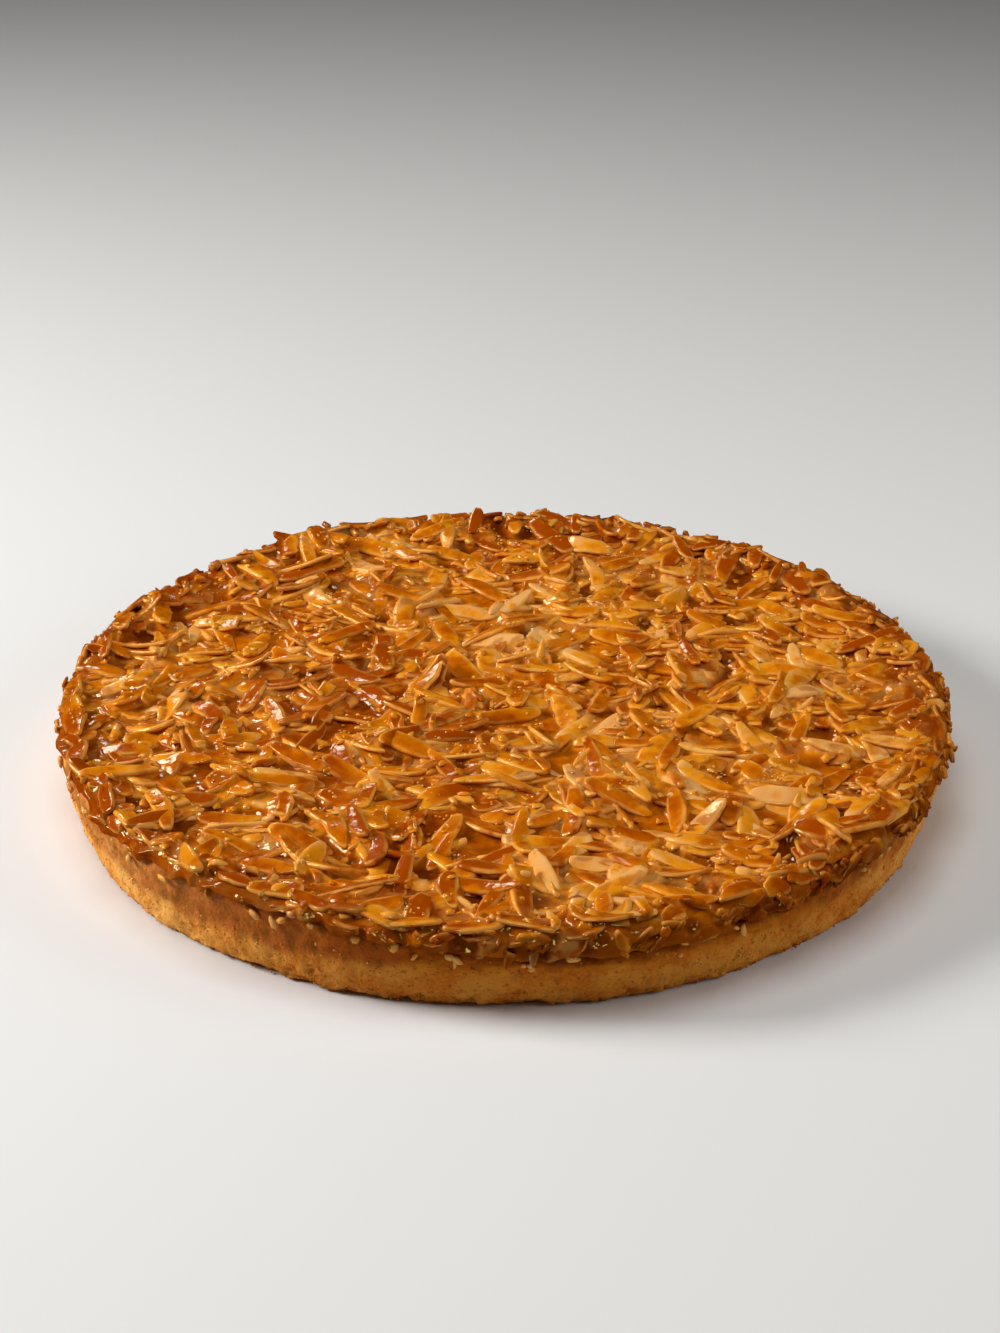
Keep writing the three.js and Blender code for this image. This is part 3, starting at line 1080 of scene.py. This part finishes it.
def side_spots(count, heights):
    """Places round the pastry's side at heights drawn from a range."""
    angle = rng.uniform(-math.pi, math.pi, count)
    height = rng.uniform(*heights, count)
    return angle, height


def pastry_radius(angle, height):
    """How far out the pastry's side stands, apart from its lumps."""
    return mix(FOOT_RADIUS, BORDER_RADIUS, height / PASTRY_TOP) + 0.5 + waves(OUTLINE_WAVES, angle)


def almond_fragments(material):
    """Pale scraps of almond that show in the pastry's upper edge, unglazed."""
    angle, rise = side_spots(FRAGMENTS, (-3.5, 1.5))
    height = pastry_top(angle) + rise
    radius = pastry_radius(angle, np.minimum(height, PASTRY_TOP)) + 0.1
    places = ring_places(radius, angle, height)
    sizes = ((0.5, 1.1), (0.7, 2.6), (0.5, 1.4))
    radii = np.column_stack([rng.uniform(*size, FRAGMENTS) for size in sizes])
    one = np.ones(FRAGMENTS)
    return lump_piece("almond_fragments", places, radii, material, ragged=0.12, facing=angle, tone=1.3 * one,
                      edge=0.7 * one, film=0 * one, deep=0 * one)


def pastry_crumbs(material):
    """Crumbs that cling to the pastry's side, and more of them along its foot."""
    side_angle, side_height = side_spots(CRUMBS, (3.0, PASTRY_TOP))
    foot_angle, foot_height = side_spots(FOOT_CRUMBS, (0.5, 2.4))
    angle = np.concatenate([side_angle, foot_angle])
    height = np.concatenate([side_height, foot_height])
    count = len(angle)
    at_foot = np.repeat((0.0, 1.0), (CRUMBS, FOOT_CRUMBS))
    radius = pastry_radius(angle, height) - 0.3 - at_foot * rng.uniform(0.3, 1.0, count)
    places = ring_places(radius, angle, height)
    radii = rng.uniform(0.18, 0.42, (count, 1)) * rng.uniform(0.7, 1.4, (count, 3))
    zero = np.zeros(count)
    # Crumbs at the front get painted shade like the pastry there
    return lump_piece("pastry_crumbs", places, radii, material, slot="pastry", ragged=0.35, facing=angle,
                      soak=zero, foot=zero, baked=0.6 * baked_front(angle))


# Material helpers

def new_material(name):
    """A new material, with its node tree and its shader."""
    material = bpy.data.materials.new(name)
    material.use_nodes = True
    return material, material.node_tree, material.node_tree.nodes["Principled BSDF"]


def node(tree, kind, **settings):
    """A new node of a kind, with its settings."""
    made = tree.nodes.new(kind)
    for key, value in settings.items():
        setattr(made, key, value)
    return made


def noise_value(tree, size, detail=3.0):
    """Noise with lumps of about the size given in millimetres, in the piece's own coordinates."""
    place = node(tree, "ShaderNodeTexCoord")
    texture = node(tree, "ShaderNodeTexNoise")
    texture.inputs["Scale"].default_value = 1 / (size * MM)
    texture.inputs["Detail"].default_value = detail
    tree.links.new(place.outputs["Object"], texture.inputs["Vector"])
    return texture.outputs["Fac"]


def radius_value(tree):
    """How far a point of a piece lies from the tart's middle, in metres."""
    place = node(tree, "ShaderNodeTexCoord")
    length = node(tree, "ShaderNodeVectorMath", operation="LENGTH")
    tree.links.new(place.outputs["Object"], length.inputs[0])
    return length.outputs["Value"]


def attribute_value(tree, name):
    """The number that a mesh keeps at every vertex under a name."""
    return node(tree, "ShaderNodeAttribute", attribute_name=name).outputs["Fac"]


def ramp_value(tree, factor, low, high):
    """The factor stretched so that low gives 0 and high gives 1."""
    stretch = node(tree, "ShaderNodeMapRange", interpolation_type="SMOOTHSTEP")
    stretch.inputs["From Min"].default_value = low
    stretch.inputs["From Max"].default_value = high
    tree.links.new(factor, stretch.inputs["Value"])
    return stretch.outputs["Result"]


def set_or_link(tree, socket, value):
    """Feed a socket from another one, or set it to a colour or a number."""
    if isinstance(value, bpy.types.NodeSocket):
        tree.links.new(value, socket)
    elif isinstance(value, tuple) and len(value) == 3:
        socket.default_value = (*value, 1.0)
    else:
        socket.default_value = value


def mixed_colour(tree, factor, a, b, blend="MIX"):
    """Two colours mixed by a factor; each may be a socket or a plain value."""
    mixer = node(tree, "ShaderNodeMix", data_type="RGBA", blend_type=blend)
    set_or_link(tree, mixer.inputs[0], factor)
    set_or_link(tree, mixer.inputs[6], a)
    set_or_link(tree, mixer.inputs[7], b)
    return mixer.outputs[2]


def maths(tree, operation, a, b):
    """Two values put together; each may be a socket or a plain number."""
    made = node(tree, "ShaderNodeMath", operation=operation)
    set_or_link(tree, made.inputs[0], a)
    set_or_link(tree, made.inputs[1], b)
    return made.outputs[0]


def bumped(tree, height, strength, distance):
    """A normal from a height, with the distance in millimetres."""
    bump = node(tree, "ShaderNodeBump")
    bump.inputs["Strength"].default_value = strength
    bump.inputs["Distance"].default_value = distance * MM
    tree.links.new(height, bump.inputs["Height"])
    return bump.outputs["Normal"]


# Glaze, for almonds and caramel: colours in linear light, and the radii between which the cream comes in

PALE_ALMOND = (0.76, 0.42, 0.155)
RIM_GOLD = (0.81, 0.385, 0.070)
GOLD = (0.72, 0.250, 0.007)
AMBER = (0.55, 0.138, 0.001)
DEEP_AMBER = (0.32, 0.050, 0.0003)
CARAMEL = (0.29, 0.078, 0.004)
CREAM = (0.56, 0.28, 0.065)
# Dark brown for painted shade, and for burnt caramel along the rim
BURNT_AND_SHADE = (0.12, 0.0145, 0.0004)
CREAM_RADII = (85 * MM, 15 * MM)


def around_zero(tree, size, spread, detail=3.0):
    """Noise about zero, with the spread given."""
    return maths(tree, "MULTIPLY", maths(tree, "SUBTRACT", noise_value(tree, size, detail), 0.5), spread)


def noise_patches(tree, size, detail, low, high, strength):
    """Patches of noise, from 0 where it is under low to the strength where it is over high."""
    return maths(tree, "MULTIPLY", ramp_value(tree, noise_value(tree, size, detail), low, high), strength)


def almond_colour(tree, given):
    """Almond under caramel: gold to deep amber by its tone, darker in patches, with a pale rim."""
    tone = maths(tree, "ADD", given["tone"], around_zero(tree, size=4.0, spread=0.9))
    tone = maths(tree, "ADD", tone, around_zero(tree, size=45.0, spread=1.2, detail=1.0))
    colour = mixed_colour(tree, ramp_value(tree, tone, 0.0, 0.45), DEEP_AMBER, AMBER)
    colour = mixed_colour(tree, ramp_value(tree, tone, 0.4, 0.8), colour, GOLD)
    pale = maths(tree, "MULTIPLY", ramp_value(tree, tone, 0.75, 1.2), 0.7)
    colour = mixed_colour(tree, pale, colour, PALE_ALMOND)
    dark = noise_patches(tree, size=7.0, detail=2.0, low=0.52, high=0.62, strength=0.5)
    colour = mixed_colour(tree, dark, colour, DEEP_AMBER)
    golden = noise_patches(tree, size=5.0, detail=1.0, low=0.3, high=0.55, strength=0.9)
    return mixed_colour(tree, maths(tree, "MULTIPLY", given["edge"], golden), colour, RIM_GOLD)


def film_colour(tree):
    """Caramel that is thick enough to hide the almonds: brown, cream in patches and mostly in the middle."""
    central = maths(tree, "MULTIPLY", ramp_value(tree, radius_value(tree), *CREAM_RADII), 0.1)
    pale = ramp_value(tree, maths(tree, "ADD", noise_value(tree, 28.0, 2.0), central), 0.47, 0.62)
    colour = mixed_colour(tree, pale, CARAMEL, CREAM)
    mottle = noise_patches(tree, size=2.4, detail=4.0, low=0.46, high=0.62, strength=0.4)
    return mixed_colour(tree, mottle, colour, DEEP_AMBER)


# What a glazed mesh keeps at its vertices: paleness, pale edges of flakes, thick caramel, and painted shade
# with browning
GLAZE_VALUES = ("tone", "edge", "film", "deep")


def glaze_group():
    """The glaze that almonds and caramel share: a colour by the mesh's values, and ripples with a grain."""
    tree = bpy.data.node_groups.new("caramel_glaze", "ShaderNodeTree")
    for name in (*GLAZE_VALUES, "grain"):
        tree.interface.new_socket(name, in_out="INPUT", socket_type="NodeSocketFloat")
    tree.interface.new_socket("colour", in_out="OUTPUT", socket_type="NodeSocketColor")
    tree.interface.new_socket("ripples", in_out="OUTPUT", socket_type="NodeSocketFloat")
    given = node(tree, "NodeGroupInput").outputs
    result = node(tree, "NodeGroupOutput").inputs
    film = maths(tree, "MULTIPLY", given["film"], 0.8)
    colour = mixed_colour(tree, film, almond_colour(tree, given), film_colour(tree))
    # Painted shade and browning darken the colour towards dark brown
    deep = maths(tree, "MULTIPLY", given["deep"], 0.9)
    tree.links.new(mixed_colour(tree, deep, colour, BURNT_AND_SHADE), result["colour"])
    drawn_out = maths(tree, "MULTIPLY", noise_value(tree, 4.0, 1.0), 1.6)
    ripples = maths(tree, "ADD", drawn_out, maths(tree, "MULTIPLY", given["grain"], 0.4))
    tree.links.new(ripples, result["ripples"])
    return tree


WARM_GLOSS = (1.0, 0.93, 0.40)


def glazed_material(name, glaze, roughness, gloss, grain, ripple_height):
    """Almonds or caramel under the shared glaze, with their own gloss, grain size and ripples."""
    material, tree, shader = new_material(name)
    placed = node(tree, "ShaderNodeGroup", node_tree=glaze)
    for value in GLAZE_VALUES:
        tree.links.new(attribute_value(tree, value), placed.inputs[value])
    tree.links.new(noise_value(tree, grain, 1.0), placed.inputs["grain"])
    tree.links.new(placed.outputs["colour"], shader.inputs["Base Color"])
    uneven = bumped(tree, placed.outputs["ripples"], strength=0.5, distance=ripple_height)
    tree.links.new(uneven, shader.inputs["Normal"])
    shader.inputs["Roughness"].default_value = roughness
    shader.inputs["Specular IOR Level"].default_value = gloss
    shader.inputs["Specular Tint"].default_value = (*WARM_GLOSS, 1.0)
    shader.inputs["Subsurface Weight"].default_value = 0.25
    shader.inputs["Subsurface Radius"].default_value = (1.0, 0.3, 0.05)
    shader.inputs["Subsurface Scale"].default_value = 1.8 * MM
    return material


# Shortcrust

# Tint of the painted shade on the pastry's front, then the pastry's own colours
FRONT_SHADE_TINT = (0.62, 0.40, 0.05)
PASTRY_PALE = (0.88, 0.43, 0.094)
PASTRY_GOLD = (0.75, 0.262, 0.030)
PASTRY_GRAIN = (0.86, 0.43, 0.11)
PASTRY_SPECK = (0.20, 0.055, 0.004)
PASTRY_BROWN = (0.36, 0.105, 0.008)
PASTRY_SOAKED = (0.54, 0.160, 0.030)


def pastry_material():
    """Baked shortcrust: sandy gold, mottled, brown where caramel soaked in and along the foot, with painted
    shade at the front.
    """
    material, tree, shader = new_material("shortcrust")
    pale = ramp_value(tree, noise_value(tree, 9.0), 0.35, 0.65)
    colour = mixed_colour(tree, pale, PASTRY_GOLD, PASTRY_PALE)
    grain = noise_patches(tree, size=1.1, detail=5.0, low=0.45, high=0.65, strength=0.6)
    colour = mixed_colour(tree, grain, colour, PASTRY_GRAIN)
    dark = noise_patches(tree, size=1.7, detail=5.0, low=0.56, high=0.7, strength=0.6)
    colour = mixed_colour(tree, dark, colour, PASTRY_BROWN)
    specks = noise_patches(tree, size=0.9, detail=2.0, low=0.64, high=0.72, strength=0.8)
    colour = mixed_colour(tree, specks, colour, PASTRY_SPECK)
    foot = maths(tree, "MULTIPLY", attribute_value(tree, "foot"), 0.5)
    colour = mixed_colour(tree, foot, colour, PASTRY_BROWN)
    # Painted shade at the front: no pale patches or coat there, and the colour darkened by a tint
    baked = attribute_value(tree, "baked")
    away_from_front = maths(tree, "SUBTRACT", 0.45, maths(tree, "MULTIPLY", baked, 0.45))
    bare = noise_patches(tree, size=3.4, detail=3.0, low=0.52, high=0.66, strength=away_from_front)
    soak = maths(tree, "MULTIPLY", attribute_value(tree, "soak"), maths(tree, "SUBTRACT", 0.85, bare))
    streaks = ramp_value(tree, noise_value(tree, 4.5, 4.0), 0.42, 0.62)
    colour = mixed_colour(tree, soak, colour, mixed_colour(tree, streaks, PASTRY_SOAKED, PASTRY_BROWN))
    colour = mixed_colour(tree, baked, colour, FRONT_SHADE_TINT, "MULTIPLY")
    tree.links.new(colour, shader.inputs["Base Color"])
    shader.inputs["Roughness"].default_value = 0.8
    shader.inputs["Specular IOR Level"].default_value = 0.05
    tree.links.new(maths(tree, "MULTIPLY", soak, away_from_front), shader.inputs["Coat Weight"])
    shader.inputs["Coat Roughness"].default_value = 0.3
    crumbly = bumped(tree, noise_value(tree, 1.0, 6.0), strength=1.0, distance=0.55)
    tree.links.new(crumbly, shader.inputs["Normal"])
    return material


# Stage: floor, light and camera

def stage_floor():
    """A plain pale floor."""
    bm = bmesh.new()
    bmesh.ops.create_grid(bm, x_segments=1, y_segments=1, size=6)
    mesh = bpy.data.meshes.new("floor")
    bm.to_mesh(mesh)
    bm.free()
    material, _, shader = new_material("pale_floor")
    shader.inputs["Base Color"].default_value = (0.70, 0.69, 0.67, 1)
    shader.inputs["Roughness"].default_value = 0.9
    mesh.materials.append(material)
    floor = bpy.data.objects.new("floor", mesh)
    bpy.context.collection.objects.link(floor)
    floor.visible_glossy = False
    floor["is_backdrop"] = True


WHITE = (1.0, 1.0, 1.0)
GLINT = (1.0, 0.95, 0.86)
WARM_LIGHT = (1.0, 0.86, 0.62)
GLINT_PLACES = ((-0.5, -0.6, 0.95), (0.1, -0.75, 0.85))
LIGHT_AIM = Vector((0, 0, 0.02))


def area_light(name, place, size, watts, glossy=True, diffuse=True, colour=WHITE):
    """A square soft light in metres and watts; the glaze doesn't mirror one that isn't glossy, and one that
    isn't diffuse is only mirrored."""
    light = bpy.data.lights.new(name, "AREA")
    light.shape = "SQUARE"
    light.size = size
    light.energy = watts
    light.color = colour
    lamp = bpy.data.objects.new(name, light)
    lamp.location = place
    lamp.rotation_euler = (LIGHT_AIM - Vector(place)).to_track_quat("-Z", "Y").to_euler()
    lamp.visible_glossy = glossy
    lamp.visible_diffuse = diffuse
    bpy.context.collection.objects.link(lamp)


def studio():
    """A dim warm world, and lights round the tart: the key at the left, and some that are only mirrored."""
    world = bpy.data.worlds.new("studio")
    world.use_nodes = True
    background = world.node_tree.nodes["Background"]
    background.inputs["Color"].default_value = (1.0, 0.92, 0.8, 1)
    background.inputs["Strength"].default_value = 0.01
    bpy.context.scene.world = world
    area_light("overhead", (-0.1, -0.1, 1.15), size=0.7, watts=6.3, glossy=False)
    area_light("key", (-1.08, 0.04, 0.64), size=0.4, watts=17.0)
    area_light("fill", (0.95, -0.2, 0.5), size=0.6, watts=4.2, glossy=False)
    area_light("window", (-0.5, 1.05, 0.78), size=0.24, watts=2.7, diffuse=False)
    area_light("front", (-0.25, -1.05, 0.45), size=0.28, watts=4.4, diffuse=False, colour=WARM_LIGHT)
    for place in GLINT_PLACES:
        area_light("glint", place, size=0.16, watts=1.1, diffuse=False, colour=GLINT)
    bpy.context.scene.view_settings.view_transform = "Standard"


# Camera: pixels of the photo's frame, then an angle in degrees and places in millimetres
PHOTO_HEIGHT = 1333
FOCAL_PIXELS = 2200.0
AXIS_ROW = 782.5
CAMERA_ELEVATION = 30.17
CAMERA_DISTANCE = 680.1
CAMERA_ACROSS = -0.72
CAMERA_UP = -6.24


def camera():
    """The camera that was fitted to the photo's outline."""
    tilt = math.radians(CAMERA_ELEVATION)
    forward = Vector((0, math.cos(tilt), -math.sin(tilt)))
    right = Vector((1, 0, 0))
    up = right.cross(forward)
    data = bpy.data.cameras.new("camera")
    data.sensor_width = 36
    data.lens = FOCAL_PIXELS * data.sensor_width / PHOTO_HEIGHT
    data.shift_y = (AXIS_ROW - PHOTO_HEIGHT / 2) / PHOTO_HEIGHT
    data.clip_start = 0.01
    body = bpy.data.objects.new("camera", data)
    body.location = (-forward * CAMERA_DISTANCE + right * CAMERA_ACROSS + up * CAMERA_UP) * MM
    body.rotation_euler = forward.to_track_quat("-Z", "Y").to_euler()
    bpy.context.collection.objects.link(body)
    bpy.context.scene.camera = body


# The scene: its stage, then every piece

camera()
stage_floor()
studio()

glaze = glaze_group()
almond = glazed_material("glazed_almond", glaze, roughness=0.13, gloss=0.32, grain=1.1, ripple_height=0.35)
caramel = glazed_material("set_caramel", glaze, roughness=0.1, gloss=0.32, grain=1.3, ripple_height=0.5)
shortcrust = pastry_material()

caramel_layer(caramel)
pastry_crust(shortcrust)
flake_piece("almond_flakes", middle + upper, FINE_ALONG, FINE_ACROSS, almond)
at_rim = rim_flakes + hanging + rising + edge_on
flake_piece("almond_flakes_rim", at_rim, FINE_ALONG, FINE_ACROSS, almond, film_share=0.4)
flake_piece("almond_flakes_under", lower, PLAIN_ALONG, PLAIN_ACROSS, almond)
flake_piece("almond_slivers", slivers + wall_slivers, PLAIN_ALONG, PLAIN_ACROSS, almond)
flake_piece("almond_bits", bits + wall_bits, BIT_ALONG, BIT_ACROSS, almond, film_share=0.15)
caramel_beads(almond)
almond_fragments(almond)
pastry_crumbs(shortcrust)

boxes = {"cad": cad_box, "visual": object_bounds()}
{key: [list(corner) for corner in box] for key, box in boxes.items()}
